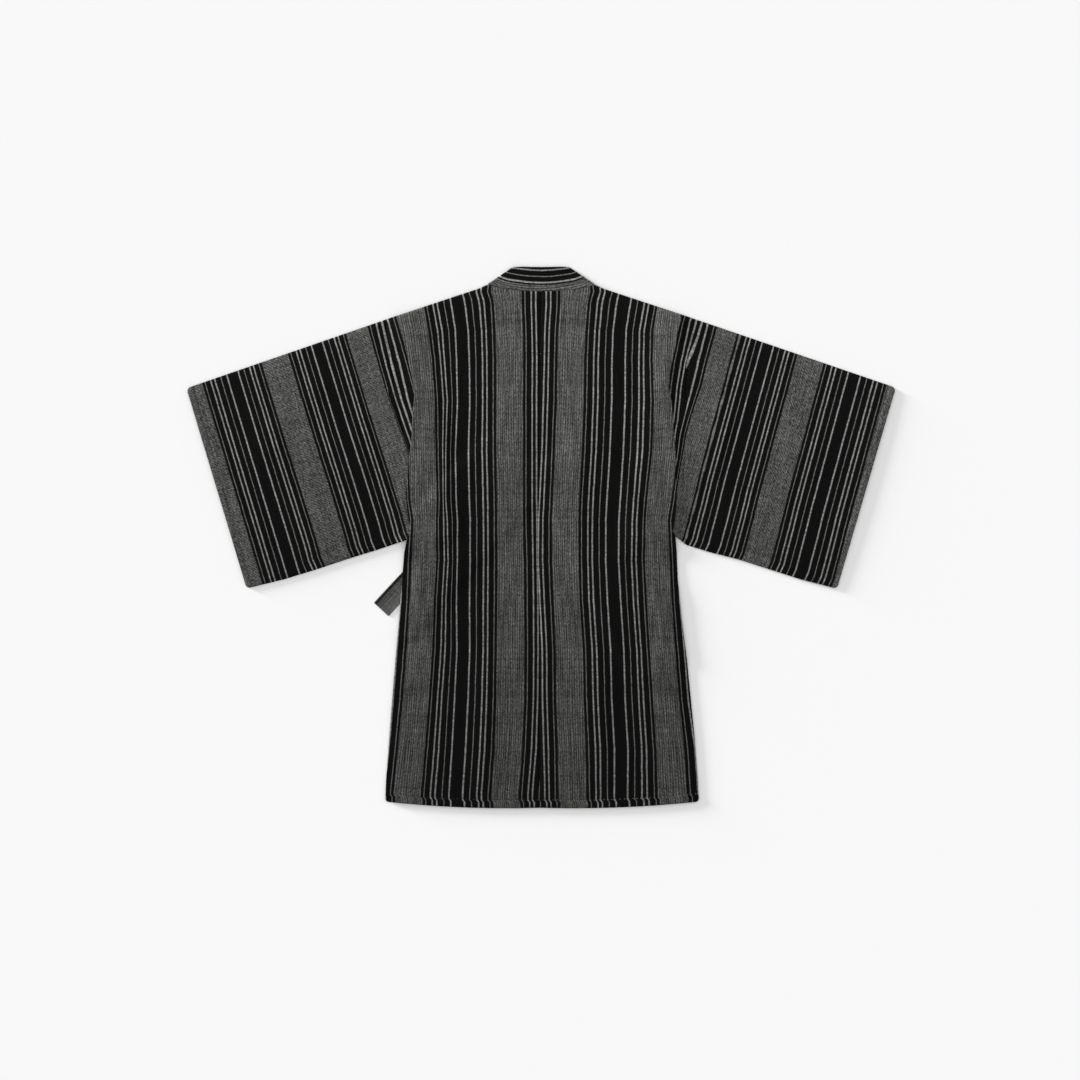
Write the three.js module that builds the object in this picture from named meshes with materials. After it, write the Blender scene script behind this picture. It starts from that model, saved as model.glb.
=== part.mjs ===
// A short kimono jacket laid flat with its back up: two body lengths folded over the shoulders,
// two wide sleeves, one collar band and two ties. Millimetres, +Z up, standing on z = 0.
// +Y runs from the hem to the neck, and +X is to the right of someone who looks at the back.
import * as THREE from 'three';

// ---- Driving dimensions ----
const WALL = 1.2;                // cloth wall of the panels
const GAP = 0.4;                 // air between two layers, and between two edges at a seam
const LAYER = WALL + GAP;
const BAND_WALL = 2.0;           // collar band, folded double
const TIE_WALL = 1.3;            // tie, a flat sewn tube
const TIE_WIDTH = 38;
const TIE_LENGTH = 350;
const BODY_LOOSENESS = 1.2;      // extra air between back and front, at the middle of the body
const SEAM_LOOSENESS = 0.15;     // the same at the side seams and the hem
const SLEEVE_LOOSENESS = 1.0;
const SEAM_GROOVE = 0.3;         // how deep the centre seam sinks, and how wide
const SEAM_GROOVE_WIDTH = 7;
const HEM_DEPTH = 19;            // turned-up hem and cuff facing
const HEM_EXTRA = 0.5;           // what the turned-up edge adds to the wall
const CUFF_CORNER = 8;
const HEM_CORNER = 5;
const SEAM_ALLOWANCE = 8;        // sleeve cloth that lies under the body along the armhole
const TUCK_WIDTH = 22;           // width over which the sleeve climbs onto the front, and where it ends
const TUCK_CLEAR = 4;
const WEDGE_CLEAR = 12;          // the back stays high this far past the sleeve's hidden end,
const WEDGE_FADE = 43;           // and comes down over this width
const SEAM_FADE = 34;            // width of the dip towards a side seam

const NECK_POINT = { x: 95, y: 480.5 };      // where shoulder fold and neckline meet
const NECK_LOW = 466.8;                      // back neckline at the centre seam
const NECK_RISE = 8.5;                       // its rise at NECK_RISE_AT from the centre
const NECK_RISE_AT = 88;
const HEM_LOW = -514.6;
const FRONT_HEM = -511;

// Side of the body from the hem to the shoulder point, as half widths. Above the armpit this is the
// edge that lies over the sleeve.
const BODY_EDGE = {
  left: [
    { y: -503, x: 296 }, { y: -462, x: 294.5 }, { y: -386, x: 289 }, { y: -310, x: 283 },
    { y: -234, x: 277 }, { y: -158, x: 270 }, { y: -82, x: 264 }, { y: -6, x: 255 },
    { y: 10, x: 245 }, { y: 60, x: 250 }, { y: 118, x: 253 }, { y: 158, x: 250 }, { y: 207, x: 247 },
    { y: 289, x: 266 }, { y: 346, x: 282 }, { y: 411.5, x: 300 },
  ],
  right: [
    { y: -503, x: 300 }, { y: -462, x: 298 }, { y: -386, x: 292.5 }, { y: -310, x: 285 },
    { y: -234, x: 277.5 }, { y: -158, x: 268 }, { y: -82, x: 260 }, { y: -6, x: 255.5 },
    { y: 10, x: 243 }, { y: 74, x: 250 }, { y: 108, x: 256 }, { y: 141, x: 257 }, { y: 182, x: 254 },
    { y: 218, x: 252 }, { y: 317, x: 278 }, { y: 411.5, x: 300 },
  ],
};

// Centre-back seam: it wanders a few millimetres to the left at the waist.
const CENTRE_SEAM = [
  { y: -516, x: -2 }, { y: -160, x: -2 }, { y: -80, x: -5 }, { y: 20, x: -6 }, { y: 120, x: -5 },
  { y: 260, x: -2 }, { y: 470, x: 0 },
];

// Front edge that the band is sewn to: straight up from the hem, then slanting out to the neck.
const FRONT_EDGE = [
  { y: -516, x: 49 }, { y: 110, x: 49 }, { y: 150, x: 52 }, { y: 225, x: 64 }, { y: 320, x: 78 },
  { y: 420, x: 90 }, { y: 462, x: 93 }, { y: 481, x: 95 },
];

// Rows of the body cloth, as heights at the centre and at the side. sag is how far a row bows towards
// the hem at its middle. The turned-up hem ends at the third row.
const HEM_ROWS = 3;
const BACK_ROWS = [
  { inner: HEM_LOW, outer: -503, sag: 5 }, { inner: HEM_LOW + 5, outer: -498, sag: 5 },
  { inner: HEM_LOW + HEM_DEPTH, outer: -486, sag: 4 },
  { inner: HEM_LOW + HEM_DEPTH + 3, outer: -483, sag: 4 },
  { inner: -460, outer: -452, sag: 2 }, { inner: -405, outer: -400, sag: 0 },
  { inner: -350, outer: -347, sag: 0 }, { inner: -295, outer: -295, sag: 0 },
  { inner: -240, outer: -240, sag: 0 }, { inner: -190, outer: -190, sag: 0 },
  { inner: -140, outer: -140, sag: 0 }, { inner: -95, outer: -95, sag: 0 },
  { inner: -50, outer: -50, sag: 0 }, { inner: -25, outer: -25, sag: 0 },
  { inner: -5, outer: -5, sag: 0 }, { inner: 22, outer: 12, sag: 0 },
  { inner: 60, outer: 40, sag: 0 }, { inner: 105, outer: 75, sag: 0 },
  { inner: 150, outer: 112, sag: 0 }, { inner: 200, outer: 150, sag: 0 },
  { inner: 250, outer: 195, sag: 0 }, { inner: 300, outer: 240, sag: 0 },
  { inner: 350, outer: 285, sag: 0 }, { inner: 400, outer: 325, sag: 0 },
  { inner: 440, outer: 355, sag: 0 },
];
const FRONT_ROWS = [
  { inner: 462, outer: 398 }, { inner: 430, outer: 370 }, { inner: 390, outer: 330 },
  { inner: 350, outer: 290 }, { inner: 305, outer: 245 }, { inner: 260, outer: 207 },
  { inner: 220, outer: 165 }, { inner: 180, outer: 120 }, { inner: 140, outer: 80 },
  { inner: 95, outer: 40 }, { inner: 50, outer: 12 }, { inner: 5, outer: -8 },
  { inner: -40, outer: -50 }, { inner: -85, outer: -90 }, { inner: -130, outer: -130 },
  { inner: -170, outer: -170 }, { inner: -205, outer: -205 }, { inner: -240, outer: -240 },
  { inner: -310, outer: -310 },
  { inner: -380, outer: -380 }, { inner: -450, outer: -445 }, { inner: FRONT_HEM, outer: -500 },
];
// Rows that start on the back neckline, x from the centre, and end on the side at the height outer.
const NECK_ROWS = [{ x: 0, outer: 376 }, { x: 30, outer: 388 }, { x: 58, outer: 397 }, { x: 80, outer: 404 }];
const BODY_COLUMNS = 13;
const FOLD_TURNS = [0, 45, 90, 135, 180];    // steps round the shoulder fold and the collar's fold

// Corners of each sleeve, mirrored to +X, and the way its bottom seam runs back to the armpit.
const SLEEVE = {
  left: {
    cuffTop: { x: 674, y: 283 }, cuffBottom: { x: 559.5, y: -98 },
    bottom: [{ x: 488, y: -80.5 }, { x: 429, y: -62.5 }, { x: 372, y: -43.5 }, { x: 311, y: -24.5 },
      { x: 260, y: -7.5 }],
  },
  right: {
    cuffTop: { x: 674.4, y: 284 }, cuffBottom: { x: 562.5, y: -98.5 },
    bottom: [{ x: 496, y: -81.5 }, { x: 437, y: -62.5 }, { x: 378, y: -43.5 }, { x: 319, y: -28.5 },
      { x: 276, y: -15 }, { x: 256, y: 1 }],
  },
};
const SLEEVE_TOP = { x: 300, y: 412 };       // shoulder point on the top fold
const SLEEVE_END_BOTTOM = { x: 199, y: 13 }; // where the sleeve's cut ends under the body
// Sections of a sleeve, as shares of its length from the cuff. The cuff facing ends at the fourth.
const CUFF_STATIONS = 4;
const SLEEVE_STATIONS = [0, 0.005, 0.02, 0.045, 0.053, 0.13, 0.22, 0.31, 0.4, 0.49, 0.58, 0.67, 0.75,
  0.83, 0.9, 0.95, 1];
const SLEEVE_COLUMNS = 12;

// Collar band, left half as seen from the back. The back stretch stands behind the neck, turns over
// at the shoulder points along a slanting fold, and runs down each front. turn is the angle of its
// face: 0 up, 180 down. The back stretch's sewn edge follows the neckline.
const BAND_FOLD = { sewn: { x: 92, y: 482.6 }, free: { x: 50.5, y: 513.2 } };
const BAND_BACK = [
  { sewn: 0, free: { x: 0, y: 515.4 } }, { sewn: 30, free: { x: 18, y: 515.4 } },
  { sewn: 58, free: { x: 35, y: 515 } }, { sewn: 80, free: { x: 46, y: 514 } },
];
const BAND_FRONT = [
  { sewn: { x: 93, y: 465 }, free: { x: 47, y: 487 } },
  { sewn: { x: 90, y: 420 }, free: { x: 44, y: 436 } },
  { sewn: { x: 84, y: 370 }, free: { x: 38, y: 384 } },
  { sewn: { x: 78, y: 320 }, free: { x: 31.5, y: 332 } },
  { sewn: { x: 64, y: 225 }, free: { x: 17, y: 235 } },
  { sewn: { x: 52, y: 150 }, free: { x: 4, y: 155 } },
  { sewn: { x: 49, y: 110 }, free: { x: 1, y: 112 } },
  { sewn: { x: 49, y: -190 }, free: { x: 1, y: -190 } },
  { sewn: { x: 49, y: FRONT_HEM }, free: { x: 1, y: FRONT_HEM } },
];
const BAND_COLUMNS = 3;

// Ties: the middle of the sewn end, beside the front edge, and the direction of the free end.
const TIES = [
  { name: 'tie_left', x: -66, y: 119, heading: THREE.MathUtils.degToRad(227.2) },
  { name: 'tie_right', x: 75, y: 115, heading: THREE.MathUtils.degToRad(-65) },
];
const TIE_CORNER = 2;
const TIE_LIFT = TIE_WALL + GAP + 0.2;       // how much the cloth over a tie rises
const TIE_LIFT_MARGIN = 18;                  // it is fully raised this far beside the tie
const TIE_LIFT_FADE = 22;                    // and comes down over this width
const LAYER_SPREAD = 16;                     // each layer higher up bends this much wider

// Soft folds of the upper layers: a ridge from one end to the other, with its half width and height.
const FOLDS = [
  { x0: -184, y0: 245, x1: -183, y1: 45, width: 9, height: 1.3 },
  { x0: -236, y0: 10, x1: -120, y1: -60, width: 16, height: 1.2 },
  { x0: 232, y0: 15, x1: 130, y1: -50, width: 16, height: 1.2 },
  { x0: -232, y0: -40, x1: -215, y1: -300, width: 22, height: 1.0 },
  { x0: 236, y0: -40, x1: 222, y1: -330, width: 22, height: 1.0 },
  { x0: -95, y0: -180, x1: -110, y1: -505, width: 26, height: 1.3 },
  { x0: 105, y0: -140, x1: 118, y1: -505, width: 26, height: 1.3 },
  { x0: -60, y0: 300, x1: -75, y1: -60, width: 24, height: 0.9 },
  { x0: 70, y0: 280, x1: 78, y1: -40, width: 24, height: 0.9 },
  { x0: -330, y0: 10, x1: -470, y1: 90, width: 20, height: 1.4 },
  { x0: 330, y0: 10, x1: 480, y1: 80, width: 20, height: 1.4 },
  { x0: -400, y0: 330, x1: -560, y1: 120, width: 26, height: 1.2 },
  { x0: 410, y0: 330, x1: 560, y1: 110, width: 26, height: 1.2 },
  { x0: -350, y0: 300, x1: -330, y1: 90, width: 18, height: 1.0 },
  { x0: 350, y0: 290, x1: 336, y1: 100, width: 18, height: 1.0 },
];

const CLOTH = { color: 0x3a3a39, roughness: 0.93, metalness: 0 };
const BAND_CLOTH = { color: 0x343433, roughness: 0.93, metalness: 0 };
const TIE_CLOTH = { color: 0x474745, roughness: 0.93, metalness: 0 };

// ---- Small helpers ----
const sign = { left: -1, right: 1 };
const { lerp, smoothstep } = THREE.MathUtils;

// Straight-line reading of a table of { y, x } rows that climb from the hem.
function widthAt(table, y) {
  if (y <= table[0].y) return table[0].x;
  for (let i = 1; i < table.length; i += 1) {
    const [below, above] = [table[i - 1], table[i]];
    if (y <= above.y) return lerp(below.x, above.x, (y - below.y) / (above.y - below.y));
  }
  return table[table.length - 1].x;
}

// Point on a polyline of { x, y } corners, by its share of the whole length.
function alongLine(corners, share) {
  const lengths = corners.slice(1).map((c, i) => Math.hypot(c.x - corners[i].x, c.y - corners[i].y));
  let rest = share * lengths.reduce((sum, length) => sum + length, 0);
  for (let i = 0; i < lengths.length; i += 1) {
    if (rest <= lengths[i] || i === lengths.length - 1) {
      const t = rest / lengths[i];
      return { x: lerp(corners[i].x, corners[i + 1].x, t), y: lerp(corners[i].y, corners[i + 1].y, t) };
    }
    rest -= lengths[i];
  }
  return corners[0];
}

// The end of a line from one point to another, carried further by a length.
function lengthened(from, to, more) {
  const share = 1 + more / Math.hypot(to.x - from.x, to.y - from.y);
  return { x: lerp(from.x, to.x, share), y: lerp(from.y, to.y, share) };
}

const neckline = (x) => NECK_LOW + NECK_RISE * (x / NECK_RISE_AT) ** 2;

// ---- Heights of the layers ----
function foldHeight(x, y) {
  let height = 0;
  for (const fold of FOLDS) {
    const dx = fold.x1 - fold.x0;
    const dy = fold.y1 - fold.y0;
    const length = Math.hypot(dx, dy);
    const along = ((x - fold.x0) * dx + (y - fold.y0) * dy) / length;
    const across = ((x - fold.x0) * dy - (y - fold.y0) * dx) / length;
    const ends = smoothstep(along, 0, length * 0.3) * (1 - smoothstep(along, length * 0.7, length));
    height += fold.height * ends * Math.exp(-((across / fold.width) ** 2));
  }
  return height;
}

// Lift of the cloth that lies over the two ties, some layers up.
function tieLift(x, y, layersUp) {
  let lift = 0;
  for (const tie of TIES) {
    const dx = x - tie.x;
    const dy = y - tie.y;
    const along = dx * Math.cos(tie.heading) + dy * Math.sin(tie.heading);
    const across = -dx * Math.sin(tie.heading) + dy * Math.cos(tie.heading);
    const beyond = Math.max(-along, along - TIE_LENGTH, 0);
    const beside = Math.max(Math.abs(across) - TIE_WIDTH / 2, 0);
    const distance = Math.hypot(beyond, beside);
    const margin = TIE_LIFT_MARGIN + layersUp * LAYER_SPREAD;
    lift = Math.max(lift, 1 - smoothstep(distance, margin, margin + TIE_LIFT_FADE));
  }
  return lift * TIE_LIFT;
}

const frontMiddle = (x, y) => WALL / 2 + tieLift(x, y, 0);

// How far the sleeve's layers have climbed onto the front before they pass under the back: 0 to 1.
function tucked(side, x, y) {
  const inside = widthAt(BODY_EDGE[side], y) - sign[side] * x;
  return smoothstep(inside, -TUCK_CLEAR - TUCK_WIDTH, -TUCK_CLEAR);
}

// Share of the sleeve's full thickness that the back passes over: 1 above its hidden wedge.
function overSleeve(side, x, y) {
  const slope = (SLEEVE_TOP.x - SLEEVE_END_BOTTOM.x) / (SLEEVE_TOP.y - SLEEVE_END_BOTTOM.y);
  const end = SLEEVE_END_BOTTOM.x - SEAM_ALLOWANCE + (y - SLEEVE_END_BOTTOM.y) * slope;
  const pastEnd = end - sign[side] * x;
  const armpit = SLEEVE[side].bottom[SLEEVE[side].bottom.length - 1];
  const seamSlope = (SLEEVE_END_BOTTOM.y - armpit.y) / (SLEEVE_END_BOTTOM.x - armpit.x);
  const seamY = armpit.y + (sign[side] * x - armpit.x) * seamSlope;
  const aside = 1 - smoothstep(pastEnd, WEDGE_CLEAR, WEDGE_CLEAR + WEDGE_FADE);
  return aside * smoothstep(y - seamY, -WEDGE_CLEAR - SEAM_FADE, -WEDGE_CLEAR);
}

function backMiddle(side, x, y) {
  const fromEdge = widthAt(BODY_EDGE[side], y) - sign[side] * x;
  const slack = smoothstep(fromEdge, 0, SEAM_FADE);
  const loose = lerp(SEAM_LOOSENESS, BODY_LOOSENESS + foldHeight(x, y), slack);
  const groove = SEAM_GROOVE * Math.exp(-(((x - widthAt(CENTRE_SEAM, y)) / SEAM_GROOVE_WIDTH) ** 2));
  const overTwoLayers = 2 * LAYER + SEAM_LOOSENESS + 0.5 * foldHeight(x, y);
  const over = lerp(loose - groove, overTwoLayers, overSleeve(side, x, y));
  return WALL / 2 + tieLift(x, y, 2) + LAYER + over;
}

const sleeveLowMiddle = (side, x, y) => WALL / 2 + (LAYER + tieLift(x, y, 1)) * tucked(side, x, y);

function sleeveTopMiddle(side, x, y, share) {
  const slack = Math.sin(Math.PI * share) ** 0.6 * (1 - tucked(side, x, y));
  return sleeveLowMiddle(side, x, y) + LAYER + slack * (SLEEVE_LOOSENESS + foldHeight(x, y));
}

// ---- Solids ----
// Closed solid of a cloth wall round a grid of middle points: each is pushed out along the surface's
// normal, the outer way by its own extra as well. A ring's columns close on themselves.
function clothSolid(grid, thickness, { ring = false, extra = () => 0 } = {}) {
  const rows = grid.length;
  const columns = grid[0].length;
  const at = (r, c) => grid[Math.min(Math.max(r, 0), rows - 1)][
    ring ? (c + columns) % columns : Math.min(Math.max(c, 0), columns - 1)];
  const vertices = [];
  const along = new THREE.Vector3();
  const across = new THREE.Vector3();
  for (const way of [1, -1]) {
    for (let r = 0; r < rows; r += 1) {
      for (let c = 0; c < columns; c += 1) {
        along.subVectors(at(r + 1, c), at(r - 1, c));
        across.subVectors(at(r, c + 1), at(r, c - 1));
        const normal = across.cross(along).normalize();
        const reach = way * thickness / 2 + (way > 0 ? extra(r, c) : 0);
        vertices.push(grid[r][c].clone().addScaledVector(normal, reach));
      }
    }
  }
  const inner = rows * columns;
  const faces = [];
  const quad = (a, b, c, d) => faces.push(a, b, c, a, c, d);
  const lastColumn = ring ? columns : columns - 1;
  for (let r = 0; r < rows - 1; r += 1) {
    for (let c = 0; c < lastColumn; c += 1) {
      const a = r * columns + c;
      const b = r * columns + (c + 1) % columns;
      const d = a + columns;
      const e = b + columns;
      quad(a, b, e, d);
      quad(inner + a, inner + d, inner + e, inner + b);
    }
    if (!ring) {
      const a = r * columns;
      const z = a + columns - 1;
      quad(a, a + columns, inner + a + columns, inner + a);
      quad(z, inner + z, inner + z + columns, z + columns);
    }
  }
  for (let c = 0; c < lastColumn; c += 1) {
    const b = (c + 1) % columns;
    const top = (rows - 1) * columns;
    quad(c, inner + c, inner + b, b);
    quad(top + c, top + b, inner + top + b, inner + top + c);
  }
  return closedGeometry(vertices, faces);
}

// Geometry whose faces point out, whichever way the grid was laid.
function closedGeometry(vertices, faces) {
  let volume = 0;
  for (let i = 0; i < faces.length; i += 3) {
    const [a, b, c] = [vertices[faces[i]], vertices[faces[i + 1]], vertices[faces[i + 2]]];
    volume += a.dot(new THREE.Vector3().crossVectors(b, c)) / 6;
  }
  const ordered = volume > 0 ? faces : faces.slice().reverse();
  const geometry = new THREE.BufferGeometry();
  const coordinates = vertices.flatMap((v) => v.toArray());
  geometry.setAttribute('position', new THREE.Float32BufferAttribute(coordinates, 3));
  geometry.setIndex(ordered);
  geometry.computeVertexNormals();
  return geometry;
}

// ---- Body: one length of cloth, up the back, over the shoulder and down the front ----
function backRows(side) {
  const edge = (y) => sign[side] * widthAt(BODY_EDGE[side], y);
  const seam = (y) => widthAt(CENTRE_SEAM, y) + sign[side] * GAP / 2;
  const rows = BACK_ROWS.map((row, index) => ({
    inner: { x: seam(row.inner), y: row.inner },
    outer: { x: edge(row.outer) - sign[side] * (index === 0 ? HEM_CORNER : 0), y: row.outer },
    sag: row.sag,
  }));
  const neckRows = NECK_ROWS.map(({ x, outer }) => ({
    inner: { x: x === 0 ? seam(NECK_LOW) : sign[side] * x, y: neckline(x) },
    outer: { x: edge(outer), y: outer },
    sag: 0,
  }));
  return [...rows, ...neckRows];
}

function bodyGrid(side) {
  const s = sign[side];
  const grid = [];
  const layRow = (inner, outer, sag, height) => {
    const row = [];
    for (let c = 0; c <= BODY_COLUMNS; c += 1) {
      const u = c / BODY_COLUMNS;
      const x = lerp(inner.x, outer.x, u);
      const y = lerp(inner.y, outer.y, u) - sag * 4 * u * (1 - u);
      row.push(new THREE.Vector3(x, y, height(x, y)));
    }
    grid.push(row);
  };
  for (const row of backRows(side)) {
    layRow(row.inner, row.outer, row.sag, (x, y) => backMiddle(side, x, y));
  }
  const shoulder = { x: s * SLEEVE_TOP.x, y: SLEEVE_TOP.y };
  const neck = { x: s * (NECK_POINT.x + GAP), y: NECK_POINT.y };
  const length = Math.hypot(neck.x - shoulder.x, neck.y - shoulder.y);
  const out = { x: s * (neck.y - shoulder.y) / length, y: Math.abs(neck.x - shoulder.x) / length };
  for (const turn of FOLD_TURNS) {
    const angle = THREE.MathUtils.degToRad(turn);
    const row = [];
    for (let c = 0; c <= BODY_COLUMNS; c += 1) {
      const u = c / BODY_COLUMNS;
      const x = lerp(neck.x, shoulder.x, u);
      const y = lerp(neck.y, shoulder.y, u);
      const low = frontMiddle(x, y);
      const radius = (backMiddle(side, x, y) - low) / 2;
      const reach = radius * Math.sin(angle) - radius - WALL / 2;
      row.push(new THREE.Vector3(x + out.x * reach, y + out.y * reach, low + radius * (1 + Math.cos(angle))));
    }
    grid.push(row);
  }
  for (const row of FRONT_ROWS) {
    const inner = { x: s * (widthAt(FRONT_EDGE, row.inner) + GAP), y: row.inner };
    const outer = { x: s * (widthAt(BODY_EDGE[side], row.outer) - GAP), y: row.outer };
    layRow(inner, outer, 0, frontMiddle);
  }
  return grid;
}

function bodyPanel(side) {
  return clothSolid(bodyGrid(side), WALL, { extra: (r) => (r < HEM_ROWS ? HEM_EXTRA : 0) });
}

// ---- Sleeve: a flat tube, folded along its top and seamed along its bottom ----
function sleeveGrid(side) {
  const plan = SLEEVE[side];
  const armpit = plan.bottom[plan.bottom.length - 1];
  const topLine = [plan.cuffTop, lengthened(plan.cuffTop, SLEEVE_TOP, SEAM_ALLOWANCE)];
  const bottomLine = [plan.cuffBottom, ...plan.bottom, lengthened(armpit, SLEEVE_END_BOTTOM, SEAM_ALLOWANCE)];
  const sleeveLength = Math.hypot(plan.cuffTop.x - SLEEVE_TOP.x, plan.cuffTop.y - SLEEVE_TOP.y);
  return SLEEVE_STATIONS.map((share) => {
    const top = alongLine(topLine, share);
    const bottom = alongLine(bottomLine, share);
    const length = Math.hypot(top.x - bottom.x, top.y - bottom.y);
    const fromCuff = share * sleeveLength;
    const corner = fromCuff < CUFF_CORNER
      ? CUFF_CORNER - Math.sqrt(CUFF_CORNER ** 2 - (CUFF_CORNER - fromCuff) ** 2) : 0;
    return sleeveRing(side, top, bottom, length, corner);
  });
}

// One section: the upper layer from the top fold to the bottom seam, and the lower layer back.
function sleeveRing(side, top, bottom, length, corner) {
  const at = (fromTop) => {
    const t = fromTop / length;
    return { x: sign[side] * lerp(top.x, bottom.x, t), y: lerp(top.y, bottom.y, t) };
  };
  const topEdge = at(0);
  const nested = LAYER * tucked(side, topEdge.x, topEdge.y);
  const ends = [0, length].map((edge) => {
    const p = at(edge);
    const low = sleeveLowMiddle(side, p.x, p.y);
    const radius = (sleeveTopMiddle(side, p.x, p.y, 0) - low) / 2;
    return { low, radius };
  });
  const first = ends[0].radius + WALL / 2 + nested + corner;
  const last = length - ends[1].radius - WALL / 2 - corner;
  const ring = [];
  for (let c = 0; c <= SLEEVE_COLUMNS; c += 1) {
    const share = c / SLEEVE_COLUMNS;
    const p = at(lerp(first, last, share));
    ring.push(new THREE.Vector3(p.x, p.y, sleeveTopMiddle(side, p.x, p.y, share)));
  }
  ring.push(turnPoint(at, last, ends[1], 1));
  for (let c = SLEEVE_COLUMNS; c >= 0; c -= 1) {
    const p = at(lerp(first, last, c / SLEEVE_COLUMNS));
    ring.push(new THREE.Vector3(p.x, p.y, sleeveLowMiddle(side, p.x, p.y)));
  }
  ring.push(turnPoint(at, first, ends[0], -1));
  return ring;
}

// Middle point of the turn between the two layers, at the fold or at the seam.
function turnPoint(at, edge, end, way) {
  const p = at(edge + way * end.radius);
  return new THREE.Vector3(p.x, p.y, end.low + end.radius);
}

function sleeve(side) {
  const extra = (r, c) => (r < CUFF_STATIONS && c <= SLEEVE_COLUMNS ? HEM_EXTRA : 0);
  return clothSolid(sleeveGrid(side), WALL, { ring: true, extra });
}

// ---- Collar band: down one front, round the back of the neck and down the other ----
function bandSection(s, sewn, free, turn) {
  const fold = { x: BAND_FOLD.sewn.x - BAND_FOLD.free.x, y: BAND_FOLD.free.y - BAND_FOLD.sewn.y };
  const length = Math.hypot(fold.x, fold.y);
  const angle = THREE.MathUtils.degToRad(turn);
  const radius = (BAND_WALL + GAP) / 2;
  const out = radius * Math.sin(angle);
  const z = BAND_WALL / 2 + radius * (1 + Math.cos(angle));
  const section = [];
  for (let c = 0; c <= BAND_COLUMNS; c += 1) {
    const u = c / BAND_COLUMNS;
    const x = lerp(sewn.x, free.x, u) + out * fold.y / length;
    const y = lerp(sewn.y, free.y, u) + out * fold.x / length;
    section.push(new THREE.Vector3(s * x, y, z));
  }
  return section;
}

function bandHalf(s) {
  const back = BAND_BACK.map((row) => (
    bandSection(s, { x: row.sewn, y: neckline(row.sewn) + GAP }, row.free, 0)));
  const turnOver = FOLD_TURNS.map((turn) => bandSection(s, BAND_FOLD.sewn, BAND_FOLD.free, turn));
  const front = BAND_FRONT.map((row) => bandSection(s, row.sewn, row.free, 180));
  return [...back, ...turnOver, ...front];
}

function collarBand() {
  const left = bandHalf(-1).reverse();
  const right = bandHalf(1).slice(1);
  return clothSolid([...left, ...right], BAND_WALL);
}

// ---- Ties ----
function tie({ x, y, heading }) {
  const half = TIE_WIDTH / 2;
  const outline = new THREE.Shape();
  outline.moveTo(0, -half);
  outline.lineTo(TIE_LENGTH - TIE_CORNER, -half);
  outline.lineTo(TIE_LENGTH, TIE_CORNER - half);
  outline.lineTo(TIE_LENGTH, half - TIE_CORNER);
  outline.lineTo(TIE_LENGTH - TIE_CORNER, half);
  outline.lineTo(0, half);
  const geometry = new THREE.ExtrudeGeometry(outline, { depth: TIE_WALL, bevelEnabled: false });
  geometry.rotateZ(heading);
  geometry.translate(x, y, 0);
  return geometry;
}

// ---- The garment ----
const garment = new THREE.Group();
function addPiece(name, geometry, finish) {
  const mesh = new THREE.Mesh(geometry, new THREE.MeshStandardMaterial(finish));
  mesh.name = name;
  garment.add(mesh);
}
for (const side of ['left', 'right']) {
  addPiece(`body_${side}`, bodyPanel(side), CLOTH);
  addPiece(`sleeve_${side}`, sleeve(side), CLOTH);
}
addPiece('collar_band', collarBand(), BAND_CLOTH);
for (const piece of TIES) addPiece(piece.name, tie(piece), TIE_CLOTH);

export default garment;
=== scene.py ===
import math

import bmesh
import bpy
import numpy as np
from bpy.props import FloatProperty, FloatVectorProperty, IntProperty, PointerProperty
from mathutils import Matrix, Vector


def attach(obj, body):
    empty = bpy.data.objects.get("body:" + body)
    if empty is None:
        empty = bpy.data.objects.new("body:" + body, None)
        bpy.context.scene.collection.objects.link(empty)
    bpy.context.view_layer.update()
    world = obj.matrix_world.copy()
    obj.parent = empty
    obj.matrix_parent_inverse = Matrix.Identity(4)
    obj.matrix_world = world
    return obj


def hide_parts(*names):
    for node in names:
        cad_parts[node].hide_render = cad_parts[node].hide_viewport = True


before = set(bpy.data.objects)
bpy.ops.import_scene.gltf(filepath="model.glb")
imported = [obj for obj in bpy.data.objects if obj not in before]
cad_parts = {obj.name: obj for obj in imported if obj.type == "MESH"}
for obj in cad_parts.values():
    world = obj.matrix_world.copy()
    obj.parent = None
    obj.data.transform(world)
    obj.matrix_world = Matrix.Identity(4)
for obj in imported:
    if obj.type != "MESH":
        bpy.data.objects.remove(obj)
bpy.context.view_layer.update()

bl_info = {
    "name": "Striped Kimono Jacket",
    "version": (1, 0, 0),
    "blender": (4, 5, 0),
    "location": "View3D > Sidebar > Kimono",
    "description": "Models a short striped kimono jacket that lies flat with its back up",
    "category": "Object",
}

MM = 0.001              # the tables below are in millimetres
SIGN = {"left": -1.0, "right": 1.0}
UV_NAME = "Cloth"       # across the stripes, then along the threads, in metres

# ---- Layers, from the surface up ----
WALL = 1.2              # room that one layer of cloth takes
GAP = 0.4
LAYER = WALL + GAP
BAND_WALL = 2.0
TIE_WALL = 1.3
BODY_LOOSE = 1.2
SEAM_LOOSE = 0.15
SLEEVE_LOOSE = 1.0
SEAM_GROOVE = 0.7
SEAM_GROOVE_WIDTH = 3.0
SEAM_FADE = 34.0
ARMHOLE_GROOVE = 0.8
ARMHOLE_GROOVE_WIDTH = 1.8
STITCH_GROOVE_WIDTH = 1.3
STITCH_HEIGHT = 0.3     # how far a stitch stands over the cloth's middle

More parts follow.
